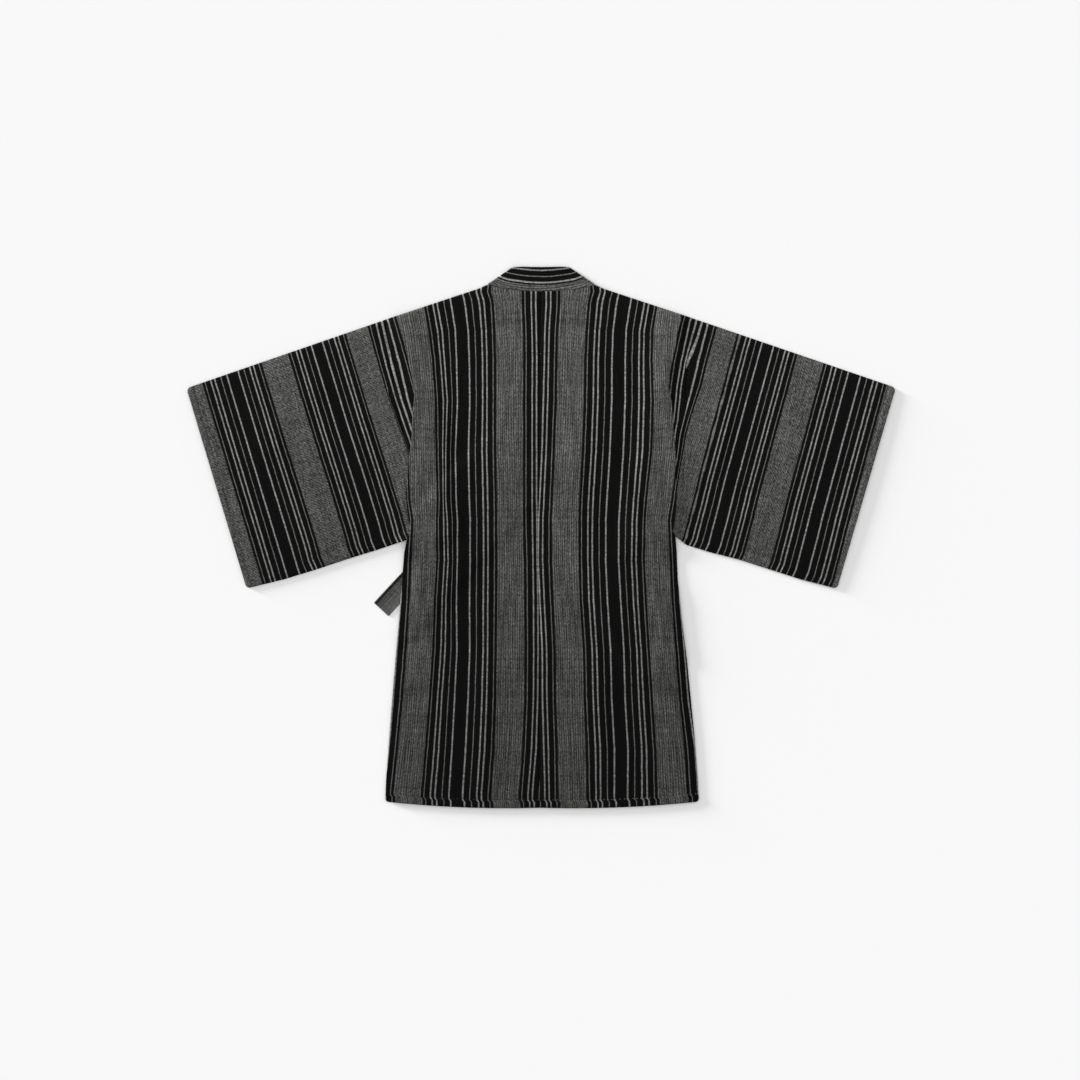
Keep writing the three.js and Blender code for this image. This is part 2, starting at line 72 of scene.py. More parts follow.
# ---- Body ----
NECK_POINT = (99.0, 478.6)
NECK_CURL = 2.0         # rise of the shoulder's fold right beside the collar
NECK_CURL_WIDTH = 22.0
NECK_LOW = 466.8
NECK_RISE = 8.5
NECK_RISE_AT = 88.0
HEM_LOW = -514.6
HEM_SIDE = -503.0
HEM_SAG = 5.0
HEM_STITCH = 15.5       # from the hem's edge to its stitch line
HEM_RISE = 0.35
HEM_GROOVE = 0.55
HEM_ROW = 1.25          # rows of a hem or a cuff lie this far apart
HEM_CORNER = 6.0
HEM_CORNER_HEIGHT = 14.0
HEM_KINK = 3.6          # how far the hem's threads are pushed over beyond the stitches
FRONT_HEM = -511.0
SHOULDER = (271.0, 421.8)

# Visible edge of each back panel from the hem to the shoulder: height, half width.
BODY_EDGE = {
    "left": (
        (-503, 296), (-462, 294.5), (-386, 289), (-310, 283), (-234, 277), (-158, 270), (-82, 264),
        (-30, 260), (-6, 255), (13, 247), (42, 253.6), (80, 256.5), (123, 252.7), (156, 250),
        (184, 246), (232, 244.3), (277, 240), (317, 248), (420, 271),
    ),
    "right": (
        (-503, 300), (-462, 298), (-386, 292.5), (-310, 285), (-234, 277.5), (-158, 268), (-82, 260),
        (-30, 258), (4, 255.2), (10, 249), (19, 252.7), (42, 255.5), (74, 258), (108, 257),
        (141, 256.9), (182, 254), (232, 250.2), (260, 248.1), (283, 242.8), (317, 245.9),
        (362, 255.4), (393, 260.5), (420, 269),
    ),
}
# Rows of the back run from the centre seam or the neckline to the side: height at each end.
BACK_KEYS = (
    (HEM_LOW, HEM_SIDE), (-350, -347), (-25, -25), (22, 12), (150, 112), (300, 245), (440, 362),
    (NECK_LOW, 384), (496.8, 396), (524.8, 405), (556.8, 415.5),
)
FRONT_KEYS = (
    (474, 413), (462, 405), (350, 300), (260, 214), (140, 84), (95, 40), (5, -8), (-130, -130),
    (FRONT_HEM, -500),
)
# Centre-back seam, and the front edges that the band is sewn to: height, distance from the middle.
CENTRE_SEAM = ((-516, -2), (-160, -2), (-80, -5), (20, -6), (120, -5), (260, -2), (470, 0))
FRONT_EDGE = (
    (-516, 49), (110, 49), (150, 52), (225, 64), (320, 78), (420, 90), (462, 93), (481, 95),
)

# ---- Sleeves: corners as seen from the back, mirrored to +X ----
SLEEVE = {
    "left": {
        "cuff_top": (674, 283), "cuff_bottom": (559.5, -98),
        "bottom": ((488, -80.5), (429, -62.5), (372, -43.5), (311, -24.5), (260, -7.5)),
    },
    "right": {
        "cuff_top": (674.4, 284), "cuff_bottom": (562.5, -98.5),
        "bottom": ((496, -81.5), (437, -62.5), (378, -43.5), (319, -28.5), (276, -15), (256, 1)),
    },
}
SLEEVE_END = (199, 13)
SEAM_ALLOWANCE = 8.0
CUFF_FINE_ROWS = 24.0   # rows lie as close as a hem's up to here
CUFF_STITCH = 13.0      # from the cuff's edge to its stitch line
CUFF_RISE = 0.3
CUFF_GROOVE = 0.5
CUFF_CORNER = 8.0
ARMHOLE_START = 350.0   # from here on the sleeve's rows lie closer
FINE_STEP = 1.5
TUCK_WIDTH = 22.0
TUCK_CLEAR = 4.0
WEDGE_CLEAR = 12.0
WEDGE_FADE = 43.0

# ---- Collar band, left half: sewn edge to free edge ----
BAND_FOLD = ((100, 479.3), (50.8, 512.4))
BAND_BACK = ((0, (0, 513.2)), (30, (18, 513.4)), (58, (34, 513.8)), (80, (45, 513.6)))
BAND_FRONT = (
    ((96, 465), (48, 487)), ((90, 420), (44, 436)), ((84, 370), (38, 384)),
    ((78, 320), (31.5, 332)), ((64, 225), (17, 235)), ((52, 150), (4, 155)), ((49, 110), (1, 112)),
    ((49, -190), (1, -190)), ((49, FRONT_HEM), (1, FRONT_HEM)),
)

# ---- Ties: middle of the sewn end and heading ----
TIES = {
    "tie_left": (-66, 119, math.radians(227.2)),
    "tie_right": (75, 115, math.radians(-65)),
}
TIE_LENGTH = 350.0
TIE_WIDTH = 38.0
TIE_STITCH = 9.0        # from a tie's end to the stitches that close it
TIE_LIFT = TIE_WALL + GAP + 0.2
TIE_LIFT_MARGIN = 18.0
TIE_LIFT_FADE = 22.0
LAYER_SPREAD = 16.0

# ---- Creases of the upper layers: from, to, half width, height ----
CREASES = (
    (-184, 245, -183, 45, 7, 1.5), (-236, 10, -120, -60, 16, 1.2), (232, 15, 130, -50, 16, 1.2),
    (-232, -40, -215, -300, 22, 1.0), (236, -40, 222, -330, 22, 1.0),
    (-95, -180, -110, -505, 26, 1.3), (105, -140, 118, -505, 26, 1.3),
    (-60, 300, -75, -60, 24, 0.9), (70, 280, 78, -40, 24, 0.9),
    (-330, 10, -470, 90, 20, 1.4), (330, 10, 480, 80, 20, 1.4),
    (-400, 330, -560, 120, 26, 1.2), (410, 330, 560, 110, 26, 1.2),
    (-350, 300, -330, 90, 18, 1.0), (350, 290, 336, 100, 18, 1.0),
)

# ---- The cloth's chart, in mm across the threads from the middle of the wide black band ----
REPEAT = 182.4
BRIGHT_LINE = 12.7
FINE_LINE = 25.8
PAIR_INNER = 39.0
PAIR_OUTER = 47.7
THIN_LINE = 60.0
GREY_START = 65.7
# Each pale line: middle, half width, brightness.
REPEAT_LINES = (
    (BRIGHT_LINE, 1.15, 1.0), (FINE_LINE, 0.55, 0.62), (PAIR_INNER, 1.15, 0.95),
    (PAIR_OUTER, 1.05, 0.9), (THIN_LINE, 0.55, 0.55),
)
SLEEVE_LEAN = math.radians(46)

# ---- How the cloth lies ----
LAY_THREADS = (
    -(REPEAT - PAIR_INNER), -(REPEAT - THIN_LINE), -THIN_LINE, BRIGHT_LINE, PAIR_INNER, THIN_LINE,
    REPEAT - GREY_START, REPEAT - THIN_LINE,
)
# Distance of those threads from the middle line, by height, counted outwards on each panel.
LAY = {
    "left": (
        (466, 10, 30.5, 101.5, 177, 203, 223, 284, 289),
        (452, 10, 30.5, 97, 172.5, 199, 219, 280, 285),
        (441, 10, 30.5, 95, 170.5, 197, 217.5, 278, 283),
        (393, 9, 28.5, 92.5, 163, 188, 208.5, 267, 272),
        (336, 8, 28, 91, 160.5, 183.5, 201.5, 260, 265),
        (260, 8.5, 28.5, 91, 159, 178, 196.5, 252, 257),
        (165, 8.5, 28.5, 91, 163, 181, 195, 251, 256),
        (70, 8.5, 28.5, 89, 161.5, 181, 192.5, 249, 253),
        (32, 8, 28.5, 89, 159, 178, 195, 242, 247),
        (-44, 7.5, 26.5, 88.5, 159.5, 176, 194, 246, 252),
        (-120, 6, 26, 89, 161, 180.5, 198.5, 249, 254.5),
        (-215, 5.5, 25.5, 89.5, 160, 182, 201.5, 255, 261),
        (-310, 6.5, 26, 91, 164.5, 189, 208, 262.5, 268.5),
        (-405, 9.5, 30, 94.5, 169.5, 194.5, 215.5, 272, 277.5),
        (-488, 16.5, 36.5, 100.5, 175, 201.5, 222.5, 280.5, 286.5),
    ),
    "right": (
        (466, 10, 30.5, 100, 175.5, 202, 223, 274, 279),
        (452, 10, 30.5, 96, 171.5, 198, 219, 270, 275),
        (441, 10, 30.5, 94, 169.5, 196, 217, 268, 273),
        (393, 7.5, 27, 90.5, 162, 187.5, 208, 265, 270),
        (336, 6.5, 25.5, 88, 160, 186, 207, 262, 267),
        (260, 4.5, 24.5, 87, 160, 186.5, 209, 266, 272),
        (165, 2, 21, 83.5, 156.5, 183.5, 206.5, 259, 264),
        (70, -2.5, 17, 78, 150.5, 176, 196.5, 248, 252.5),
        (32, -4.5, 15, 77, 148, 173.5, 194, 241, 246),
        (-44, -5.5, 15, 77, 147.5, 172, 192.5, 245, 250),
        (-120, -2, 18, 79, 151.5, 175.5, 196, 248, 253),
        (-215, 2.5, 22.5, 85, 157.5, 182, 201.5, 255, 260.5),
        (-310, 3, 23, 87, 160, 186, 207.5, 262.5, 268),
        (-405, 5.5, 26, 91, 165.5, 191.5, 213.5, 272.5, 279),
        (-488, 7.5, 27, 92.5, 164.5, 192, 215.5, 277, 284),
    ),
}
# Sleeves: distance from the cuff's edge, and the thread that lies there.
SLEEVE_LAY = {
    "left": (
        (0, -98.6), (36.9, -60), (92.2, 0), (145.4, 60), (209.8, 122.4), (262.4, 182.4), (315.6, 242.4),
    ),
    "right": (
        (0, -86.5), (26.2, -60), (84.6, 0), (140.8, 60), (204.4, 122.4), (258, 182.4), (312.4, 242.4),
    ),
}
# How far the threads have drifted from the cuff, by the distance down from the top fold.
SLEEVE_DRIFT = {
    "left": ((0, -0.6), (150, 0), (270, 2), (345, 2.6), (382, 1.6), (400, 4)),
    "right": ((0, -1.9), (95, -3.8), (210, -6.1), (270, -7.4), (315, -9.5), (384, -11.4), (400, -9)),
}
SLEEVE_DRIFT_FROM = {"left": 85.0, "right": -60.0}
SLEEVE_DRIFT_FADE = 50.0
# The narrow group at each armhole turns back at the seam. Its threads, and their distance from
# the cuff by height: grey edge, bright line, seam, bright line, thin line.
ARMHOLE_THREADS = {
    "left": (299.1, 317.1, 325.8, 317.1, 304.8),
    "right": (299.1, 317.1, 330.0, 317.1, 304.8),
}
ARMHOLE_LAY = {
    "left": (
        (408, 363, 381, 392, 404, 415.5), (332, 362, 376, 386.5, 402, 414), (260, 362, 374.5, 385, 397, 412),
        (182, 367, 377.5, 388, 398, 410), (60, 372, 384, 394, 404, 414),
    ),
    "right": (
        (408, 358, 377, 394, 411, 423), (336, 357.5, 374, 394.5, 405.5, 417.5),
        (289, 355, 371.5, 389.5, 400, 411), (224, 358, 369.5, 377.5, 388, 399),
        (196, 357, 368.5, 374.5, 385, 395), (133, 350.5, 359, 362.5, 375, 385),
        (70, 342, 349.5, 353, 365, 375),
    ),
}
ARMHOLE_FROM = (315.6, 242.4)   # distance and thread at which the armhole's group begins
ARMHOLE_PAST = 30.0             # the cloth goes on this far past the thin line
# Lower down a line is drawn into the armhole seam: between which heights, the range of threads
# before the seam that goes, and the thread that is left in its place.
SWALLOWED = {"left": (300, 260, 301.5, 306.5, 306.5), "right": (400, 268, 321.0, 331.0, 321.0)}
# Collar band: distance from the sewn edge, and the brightness of the line that runs there.
BAND_WIDTH = 48.6
BAND_LINES = ((18.8, 1.2, 1.0), (30.4, 0.6, 0.6), (42.1, 1.0, 0.85))
BAND_GREY = 14.4
BAND_ROLL = 4.5         # cloth that has rolled away at the neck fold's free edge
BAND_SPREAD = 0.8
TIE_BLACK = (1.9, 5.4)  # black line along the tie's upper edge

# ---- Grain: cells in a metre across the threads and along them, and detail ----
THREAD_GRAIN = (680, 18, 0.0)
CREPE_GRAIN = (620, 300, 1.0)
SLEEVE_CREPE_GRAIN = (760, 230, 1.0)
RIB_WANDER = (26, 7, 1.0)
SLEEVE_RIB_WANDER = (26, 26, 1.0)
BEAD_GRAIN = (70, 290, 1.0)
PATCH_GRAIN = (9, 7, 3.0)
WEFT_GRAIN = (3, 160, 1.0)
DARK_ROW_GRAIN = (0.8, 15, 1.0)
LINE_WANDER_GRAIN = (60, 60, 3.0)
LINE_WANDER = 0.0016            # in metres
RIB_WANDER_TURN = 12.0
PATCH_CONTRAST = 0.14
GRAIN_TILT = (0.5, 0.4, 0.6)    # keeps the noise's own cells off the threads
DARKEST_GRAIN = 0.12
DARKEST_BEAD = 0.2
# painted shade: between these two heights the cloth is painted darker towards the hem, in place of light
# that falls off downwards
PAINTED_SHADE_FROM = -0.50               # in metres along Y
PAINTED_SHADE_TO = 0.42

# ---- Stage ----
CAMERA_PLACE = (-0.0019, -0.0057)   # in metres
SENSOR_WIDTH = 36.0
SURFACE_GREY = (0.80, 0.80, 0.80, 1)


# ======== small helpers ========
def smooth(value, low, high):
    share = np.clip((value - low) / (high - low), 0.0, 1.0)
    return share * share * (3.0 - 2.0 * share)


def mix(a, b, share):
    return a + (b - a) * share


def table_at(rows, position, column=1):
    """Straight-line reading of one column of a table by its first column."""
    ordered = sorted(rows)
    return np.interp(position, [row[0] for row in ordered], [row[column] for row in ordered])


def neckline(x):
    return NECK_LOW + NECK_RISE * (x / NECK_RISE_AT) ** 2


# ======== heights ========
def crease_height(x, y):
    height = np.zeros_like(x)
    for x0, y0, x1, y1, width, rise in CREASES:
        length = math.hypot(x1 - x0, y1 - y0)
        along = ((x - x0) * (x1 - x0) + (y - y0) * (y1 - y0)) / length
        across = ((x - x0) * (y1 - y0) - (y - y0) * (x1 - x0)) / length
        ends = smooth(along, 0, length * 0.3) * (1 - smooth(along, length * 0.7, length))
        height += rise * ends * np.exp(-((across / width) ** 2))
    return height


def tie_lift(x, y, layers_up):
    lift = np.zeros_like(x)
    for tie_x, tie_y, heading in TIES.values():
        along = (x - tie_x) * math.cos(heading) + (y - tie_y) * math.sin(heading)
        across = -(x - tie_x) * math.sin(heading) + (y - tie_y) * math.cos(heading)
        beyond = np.maximum(np.maximum(-along, along - TIE_LENGTH), 0)
        beside = np.maximum(np.abs(across) - TIE_WIDTH / 2, 0)
        margin = TIE_LIFT_MARGIN + layers_up * LAYER_SPREAD
        lift = np.maximum(lift, 1 - smooth(np.hypot(beyond, beside), margin, margin + TIE_LIFT_FADE))
    return lift * TIE_LIFT


def stitched_hem(past_stitch, rise, groove):
    """Relief of a doubled hem and of its stitch line, by the distance inwards from that line."""
    line = past_stitch / STITCH_GROOVE_WIDTH
    return rise * smooth(-past_stitch, -2, 1) - groove * np.exp(-line * line)


def front_height(x, y):
    return WALL / 2 + tie_lift(x, y, 0)


def tucked(side, x, y):
    """How far the sleeve has climbed onto the front before it passes under the back."""
    inside = table_at(BODY_EDGE[side], y) - SIGN[side] * x
    return smooth(inside, -TUCK_CLEAR - TUCK_WIDTH, -TUCK_CLEAR)


def over_sleeve(side, x, y):
    """1 where the back lies over the sleeve's hidden wedge."""
    slope = (SHOULDER[0] - SLEEVE_END[0]) / (SHOULDER[1] - SLEEVE_END[1])
    end = SLEEVE_END[0] - SEAM_ALLOWANCE + (y - SLEEVE_END[1]) * slope
    past_end = end - SIGN[side] * x
    armpit = SLEEVE[side]["bottom"][-1]
    seam_slope = (SLEEVE_END[1] - armpit[1]) / (SLEEVE_END[0] - armpit[0])
    seam_y = armpit[1] + (SIGN[side] * x - armpit[0]) * seam_slope
    aside = 1 - smooth(past_end, WEDGE_CLEAR, WEDGE_CLEAR + WEDGE_FADE)
    return aside * smooth(y - seam_y, -WEDGE_CLEAR - SEAM_FADE, -WEDGE_CLEAR)


def back_height(side, x, y):
    from_edge = table_at(BODY_EDGE[side], y) - SIGN[side] * x
    loose = mix(SEAM_LOOSE, BODY_LOOSE + crease_height(x, y), smooth(from_edge, 0, SEAM_FADE))
    seam = (x - table_at(CENTRE_SEAM, y)) / SEAM_GROOVE_WIDTH
    loose = loose - SEAM_GROOVE * np.exp(-seam * seam)
    on_sleeve = 2 * LAYER + SEAM_LOOSE + 0.5 * crease_height(x, y)
    return WALL / 2 + tie_lift(x, y, 2) + LAYER + mix(loose, on_sleeve, over_sleeve(side, x, y))


def sleeve_low(side, x, y):
    return WALL / 2 + (LAYER + tie_lift(x, y, 1)) * tucked(side, x, y)


def sleeve_top(side, x, y, share):
    slack = np.sin(np.pi * np.clip(share, 0, 1)) ** 0.6 * (1 - tucked(side, x, y))
    return sleeve_low(side, x, y) + LAYER + slack * (SLEEVE_LOOSE + crease_height(x, y))


# ======== meshes ========
def cloth_grid(columns, rows, place):
    """A grid laid out by place(), which gives its points and their cloth coordinates, in mm.

    Where a seam crosses the grid, it also gives the cloth coordinates past the seam, and which
    points lie there.
    """
    bm = bmesh.new()
    layer = bm.loops.layers.uv.new(UV_NAME)
    bmesh.ops.create_grid(bm, x_segments=columns, y_segments=rows, size=1.0)
    bm.verts.index_update()
    flat = np.array([vert.co.xy for vert in bm.verts])
    column = np.rint((flat[:, 0] + 1) / 2 * columns).astype(int)
    row = np.rint((flat[:, 1] + 1) / 2 * rows).astype(int)
    points, cloth, *seam = place(column, row)
    for vert, point in zip(bm.verts, points * MM):
        vert.co = point
    past_cloth, is_past = seam or (cloth, np.zeros(len(cloth), bool))
    for face in bm.faces:
        source = past_cloth if sum(is_past[vert.index] for vert in face.verts) > 2 else cloth
        for loop in face.loops:
            loop[layer].uv = source[loop.vert.index] * MM
    return bm


def made_mesh(name, bm, material):
    mesh = bpy.data.meshes.new(name)
    bm.to_mesh(mesh)
    bm.free()
    mesh.materials.append(material)
    return mesh


def made_object(name, data):
    made = bpy.data.objects.new(name, data)
    bpy.context.scene.collection.objects.link(made)
    return made


def finish_piece(name, bm, node, material, weld=0.0):
    """Makes the object, welds its seams and hands it to the frame in place of its CAD node."""
    if weld:
        bmesh.ops.remove_doubles(bm, verts=bm.verts, dist=weld)
    bmesh.ops.recalc_face_normals(bm, faces=bm.faces)
    mesh = made_mesh(name, bm, material)
    mesh.polygons.foreach_set("use_smooth", [True] * len(mesh.polygons))
    piece = made_object(name, mesh)
    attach(piece, "root")
    if node:
        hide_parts(node)
    return piece


def thicken(piece, thickness):
    wall = piece.modifiers.new("Cloth thickness", "SOLIDIFY")
    wall.thickness = thickness
    wall.offset = 0.0
    wall.use_even_offset = False


# ======== body ========
def clustered(column, columns, amount=0.7):
    """Columns that draw together towards both edges of a panel."""
    share = column / columns
    return share - amount * np.sin(2 * np.pi * share) / (2 * np.pi)


def back_stations(step):
    hem = np.arange(HEM_LOW, HEM_LOW + HEM_STITCH + 6, HEM_ROW)
    rest = np.arange(hem[-1] + step, BACK_KEYS[-1][0] - 5.0, step)
    return np.concatenate([hem, rest])


def lay_thread(side, x, y):
    """Thread of the repeat that lies at a place on a body panel."""
    out = SIGN[side] * x
    kinked = smooth(-(y - hem_line(side, out) - HEM_STITCH), -0.6, 6.0) * HEM_KINK
    out = out - SIGN[side] * kinked
    threads = np.zeros_like(out)
    columns = [table_at(LAY[side], y, 1 + i) for i in range(len(LAY_THREADS))]
    lay = np.stack(columns, axis=-1)
    for i in range(len(LAY_THREADS) - 1):
        low, high = lay[..., i], lay[..., i + 1]
        share = (out - low) / (high - low)
        inside = share > (0 if i else -10)
        step = LAY_THREADS[i + 1] - LAY_THREADS[i]
        threads = np.where(inside, LAY_THREADS[i] + share * step, threads)
    return threads


def hem_line(side, out):
    """Height of the hem's lower edge at a distance from the middle."""
    half = BODY_EDGE[side][0][1]
    share = np.clip(out / half, 0, 1)
    return mix(HEM_LOW, HEM_SIDE, share) - HEM_SAG * 4 * share * (1 - share)


def body_panel(side, columns, step, front_step):
    s = SIGN[side]
    heights = back_stations(step)
    turns = np.radians([0, 22, 45, 67, 90, 113, 135, 158, 180])
    fronts = np.append(np.arange(FRONT_KEYS[0][0], FRONT_HEM, -front_step), FRONT_HEM)
    back_rows, turn_rows = len(heights), len(turns)
    rows = back_rows + turn_rows + len(fronts) - 1

    def place(column, row):
        across = clustered(column, columns)
        is_back = row < back_rows
        is_front = row >= back_rows + turn_rows
        is_turn = ~is_back & ~is_front
        h = heights[np.clip(row, 0, back_rows - 1)]
        f = fronts[np.clip(row - back_rows - turn_rows, 0, len(fronts) - 1)]
        turn = np.where(is_back, 0.0, np.pi)
        turn[is_turn] = turns[row[is_turn] - back_rows]
        # inner and outer end of each row
        kinds = (is_back, is_front)
        on_neck = np.maximum(h - NECK_LOW, 0)
        back_x = np.where(on_neck > 0, on_neck, s * table_at(CENTRE_SEAM, h))
        back_y = np.where(on_neck > 0, neckline(on_neck), h)
        front_x = table_at(FRONT_EDGE, f) + GAP
        x_in = s * np.select(kinds, (back_x, front_x), NECK_POINT[0] + GAP)
        y_in = np.select(kinds, (back_y, f), NECK_POINT[1])
        y_out = np.select(kinds, (table_at(BACK_KEYS, h), table_at(FRONT_KEYS, f)), SHOULDER[1])
        edge = table_at(BODY_EDGE[side], y_out)
        x_out = s * np.select(kinds, (edge, edge - GAP), SHOULDER[0])
        sag = np.where(is_back, np.interp(h, (HEM_LOW, -440, -400), (HEM_SAG, 1.5, 0)), 0)
        x = mix(x_in, x_out, across)
        y = mix(y_in, y_out, across) - sag * 4 * across * (1 - across)
        curl = NECK_CURL * (1 - smooth(np.abs(x), NECK_POINT[0], NECK_POINT[0] + NECK_CURL_WIDTH))
        y = y + np.where(is_turn, curl, 0)
        to_side = np.abs(x_out) - np.abs(x)
        bend = np.clip(1 - to_side / HEM_CORNER, 0, 1)
        corner = HEM_CORNER * (1 - np.sqrt(1 - bend ** 2))
        y = y + np.where(is_back, corner * np.interp(h - HEM_LOW, (0, HEM_CORNER_HEIGHT), (1, 0)), 0)
        low = front_height(x, y)
        high = back_height(side, x, y)
        radius = (high - low) / 2
        run = math.hypot(SHOULDER[0] - NECK_POINT[0], NECK_POINT[1] - SHOULDER[1])
        out_x = s * (NECK_POINT[1] - SHOULDER[1]) / run
        out_y = (SHOULDER[0] - NECK_POINT[0]) / run
        reach = np.where(is_turn, radius * np.sin(turn) - radius - WALL / 2, 0)
        relief = stitched_hem(y - hem_line(side, s * x) - HEM_STITCH, HEM_RISE, HEM_GROOVE)
        z = low + radius * (1 + np.cos(turn)) + np.where(is_back, relief, 0)
        points = np.stack([x + out_x * reach, y + out_y * reach, z], axis=-1)
        fold_y = mix(NECK_POINT[1], SHOULDER[1], across)
        along = np.where(is_front, 2 * fold_y - y, y)
        return points, np.stack([lay_thread(side, x, y), along], axis=-1)

    return cloth_grid(columns, rows, place)


# ======== sleeves ========
def along_line(corners, share):
    corners = np.array(corners, float)
    lengths = np.hypot(*np.diff(corners, axis=0).T)
    marks = np.concatenate([[0], np.cumsum(lengths)])
    where = share * marks[-1]
    return np.interp(where, marks, corners[:, 0]), np.interp(where, marks, corners[:, 1])


def lengthened(start, end, more):
    share = 1 + more / math.hypot(end[0] - start[0], end[1] - start[1])
    return (mix(start[0], end[0], share), mix(start[1], end[1], share))


def cuff_place(side, out, y):
    """Distance from the line of the cuff's edge, and distance down it from the top fold."""
    plan = SLEEVE[side]
    dx = plan["cuff_top"][0] - plan["cuff_bottom"][0]
    dy = plan["cuff_top"][1] - plan["cuff_bottom"][1]
    length = math.hypot(dx, dy)
    from_x = plan["cuff_top"][0] - out
    from_y = plan["cuff_top"][1] - y
    return (from_x * dy - from_y * dx) / length, (from_x * dx + from_y * dy) / length


def sleeve_thread(side, x, y):
    """Threads at a place on a sleeve: before its armhole seam, past it, and whether it is past."""
    distance, down = cuff_place(side, SIGN[side] * x, y)
    start = SLEEVE_DRIFT_FROM[side]
    drift = table_at(SLEEVE_DRIFT[side], down) * smooth(distance, start, start + SLEEVE_DRIFT_FADE)
    names = ARMHOLE_THREADS[side]
    marks = [table_at(ARMHOLE_LAY[side], y, 1 + i) for i in range(len(names))]
    marks = [ARMHOLE_FROM[0] + drift] + marks + [marks[-1] + ARMHOLE_PAST]
    names = (ARMHOLE_FROM[1], *names, names[-1] - ARMHOLE_PAST)
    before = table_at(SLEEVE_LAY[side], distance - drift)
    past = np.full_like(before, names[3])
    for i in range(len(names) - 1):
        share = np.clip((distance - marks[i]) / (marks[i + 1] - marks[i]), 0, 1)
        here = mix(names[i], names[i + 1], share)
        if i < 3:
            before = np.where(share > 0, here, before)
        else:
            past = np.where(share > 0, here, past)
    top, low, first, last, left_over = SWALLOWED[side]
    gone = 1 - smooth(y, low, top)
    before = np.where((before > first) & (before < last), mix(before, left_over, gone), before)
    return before, past, distance > marks[3]


def sleeve_tube(side, across, step):
    """The sleeve's one length of cloth, from the bottom seam over the top fold and back."""
    plan = SLEEVE[side]
    armpit = plan["bottom"][-1]
    top_line = (plan["cuff_top"], lengthened(plan["cuff_top"], SHOULDER, SEAM_ALLOWANCE))
    bottom_line = (plan["cuff_bottom"], *plan["bottom"], lengthened(armpit, SLEEVE_END, SEAM_ALLOWANCE))
    run = math.hypot(plan["cuff_top"][0] - SHOULDER[0], plan["cuff_top"][1] - SHOULDER[1])
    hem = np.arange(0, CUFF_FINE_ROWS, HEM_ROW)
    wide = np.arange(hem[-1] + step, ARMHOLE_START, step)
    fine = np.linspace(ARMHOLE_START, run, int((run - ARMHOLE_START) / FINE_STEP))
    stations = np.concatenate([hem, wide, fine]) / run
    turn_steps = 5

    def place(column, row):
        share = stations[row]
        top_x, top_y = along_line(top_line, share)
        bottom_x, bottom_y = along_line(bottom_line, share)
        length = np.hypot(top_x - bottom_x, top_y - bottom_y)
        from_cuff = share * run
        to_round = np.maximum(CUFF_CORNER - from_cuff, 0)
        corner = CUFF_CORNER - np.sqrt(CUFF_CORNER ** 2 - to_round ** 2)

        def at(from_top):
            t = from_top / length
            return SIGN[side] * mix(top_x, bottom_x, t), mix(top_y, bottom_y, t)

        edge_x, edge_y = at(0 * length)
        under = SIGN[side] * edge_x - table_at(BODY_EDGE[side], edge_y)
        nested = LAYER * smooth(-under, -3, 5)
        fold_low, seam_low = (sleeve_low(side, *at(end)) for end in (0 * length, length))
        radius = LAYER / 2
        first = radius + WALL / 2 + nested + corner
        last = length - radius - WALL / 2 - corner
        # columns: lower layer up from the seam, turn at the fold, upper layer down, turn at the seam
        half = (across - 2 * turn_steps) // 2
        c = column
        lower = c <= half
        fold = (c > half) & (c < half + turn_steps)
        upper = (c >= half + turn_steps) & (c <= 2 * half + turn_steps)
        seam = c > 2 * half + turn_steps
        down_share = np.where(lower, 1 - c / half, (c - half - turn_steps) / half)
        from_top = mix(first, last, np.clip(down_share, 0, 1))
        fold_angle = np.pi * (1 - (c - half) / turn_steps)
        seam_angle = np.pi * (c - 2 * half - turn_steps) / (across - 2 * half - turn_steps)
        angle = np.where(fold, fold_angle, np.where(seam, seam_angle, np.where(lower, np.pi, 0.0)))
        from_top = np.where(fold, first - radius * np.sin(angle), from_top)
        from_top = np.where(seam, last + radius * np.sin(angle), from_top)
        x, y = at(from_top)
        layer_share = np.clip((from_top - first) / (last - first), 0, 1)
        low = sleeve_low(side, x, y)
        top = sleeve_top(side, x, y, layer_share)
        z = np.where(lower, low, top)
        turned = radius * (1 + np.cos(angle))
        z = np.where(fold, fold_low + turned, z)
        z = np.where(seam, seam_low + turned, z)
        armhole = (from_cuff - table_at(ARMHOLE_LAY[side], y, 3)) / ARMHOLE_GROOVE_WIDTH
        relief = stitched_hem(from_cuff - CUFF_STITCH, CUFF_RISE, CUFF_GROOVE)
        z = z + np.where(upper, relief - ARMHOLE_GROOVE * np.exp(-armhole * armhole), 0)
        along_cloth = np.where(lower | (fold & (angle > np.pi / 2)), -from_top, from_top)
        points = np.stack([x, y, z], axis=-1)
        *threads, is_past = sleeve_thread(side, x, y)
        before, past = (np.stack([thread, along_cloth], axis=-1) for thread in threads)
        return points, before, past, is_past

    return cloth_grid(across, len(stations) - 1, place)


# ======== collar band and ties ========
def closed_ends(bm):
    """Welds the seam along a tube and fills its two open ends."""
    bmesh.ops.remove_doubles(bm, verts=bm.verts, dist=0.01 * MM)
    edges = [edge for edge in bm.edges if edge.is_boundary]
    bmesh.ops.holes_fill(bm, edges=edges, sides=0)
    return bm


